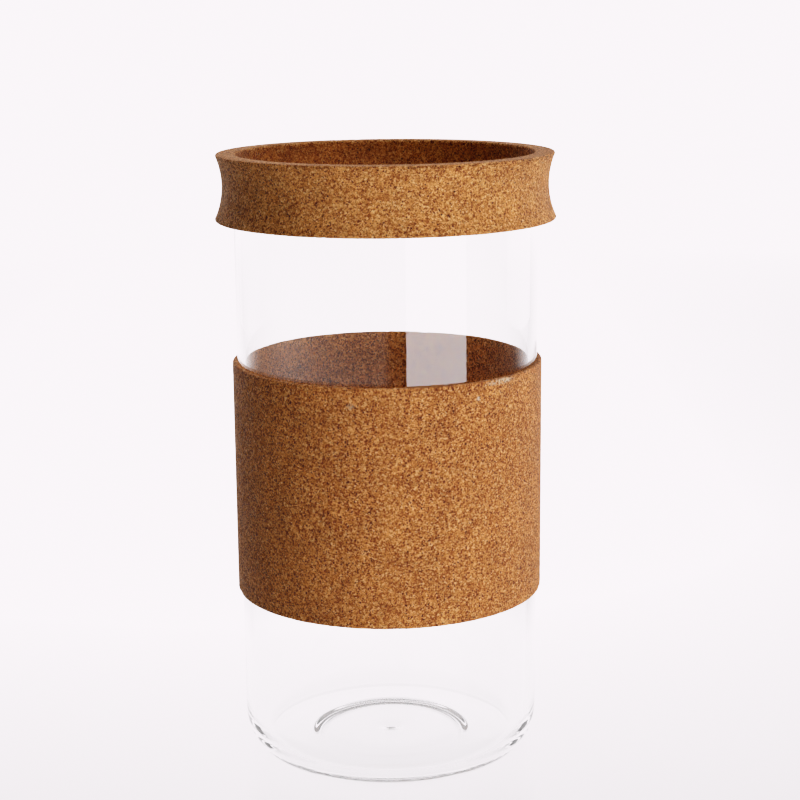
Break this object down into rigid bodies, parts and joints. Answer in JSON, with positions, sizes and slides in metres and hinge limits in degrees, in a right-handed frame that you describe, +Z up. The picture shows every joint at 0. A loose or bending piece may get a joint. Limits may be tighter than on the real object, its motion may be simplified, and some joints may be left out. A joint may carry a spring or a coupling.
{
  "type": "glass travel cup",
  "caption": "Straight clear glass tumbler with a rounded base, a thin cork grip sleeve round its middle and a waisted cork collar ring on its rim.",
  "frame": {"origin": "centre of the base, on the surface that the cup stands on", "axes": "+Z up along the cup's axis of revolution; the cup is round, so +X and +Y are free: seen from the front, +X is to the right and +Y away"},
  "size_m": [0.1008, 0.1008, 0.182],
  "materials": {
    "clear_glass": "polished, colourless",
    "sheet_cork": "fine granulated sheet cork, sanded, matt",
    "block_cork": "turned agglomerated cork, sanded, matt"
  },
  "bodies": {
    "glass": {"glass_body": "clear_glass"},
    "sleeve": {"cork_sleeve": "sheet_cork"},
    "collar": {"cork_collar": "block_cork"}
  },
  "joints": [
    {"name": "sleeve_slide", "type": "slide", "parent": "glass", "child": "sleeve", "axis": [0, 0, 1], "range_m": [-0.05, 0.0415]},
    {"name": "collar_lift", "type": "slide", "parent": "glass", "child": "collar", "axis": [0, 0, 1], "range_m": [0, 0.04]}
  ]
}
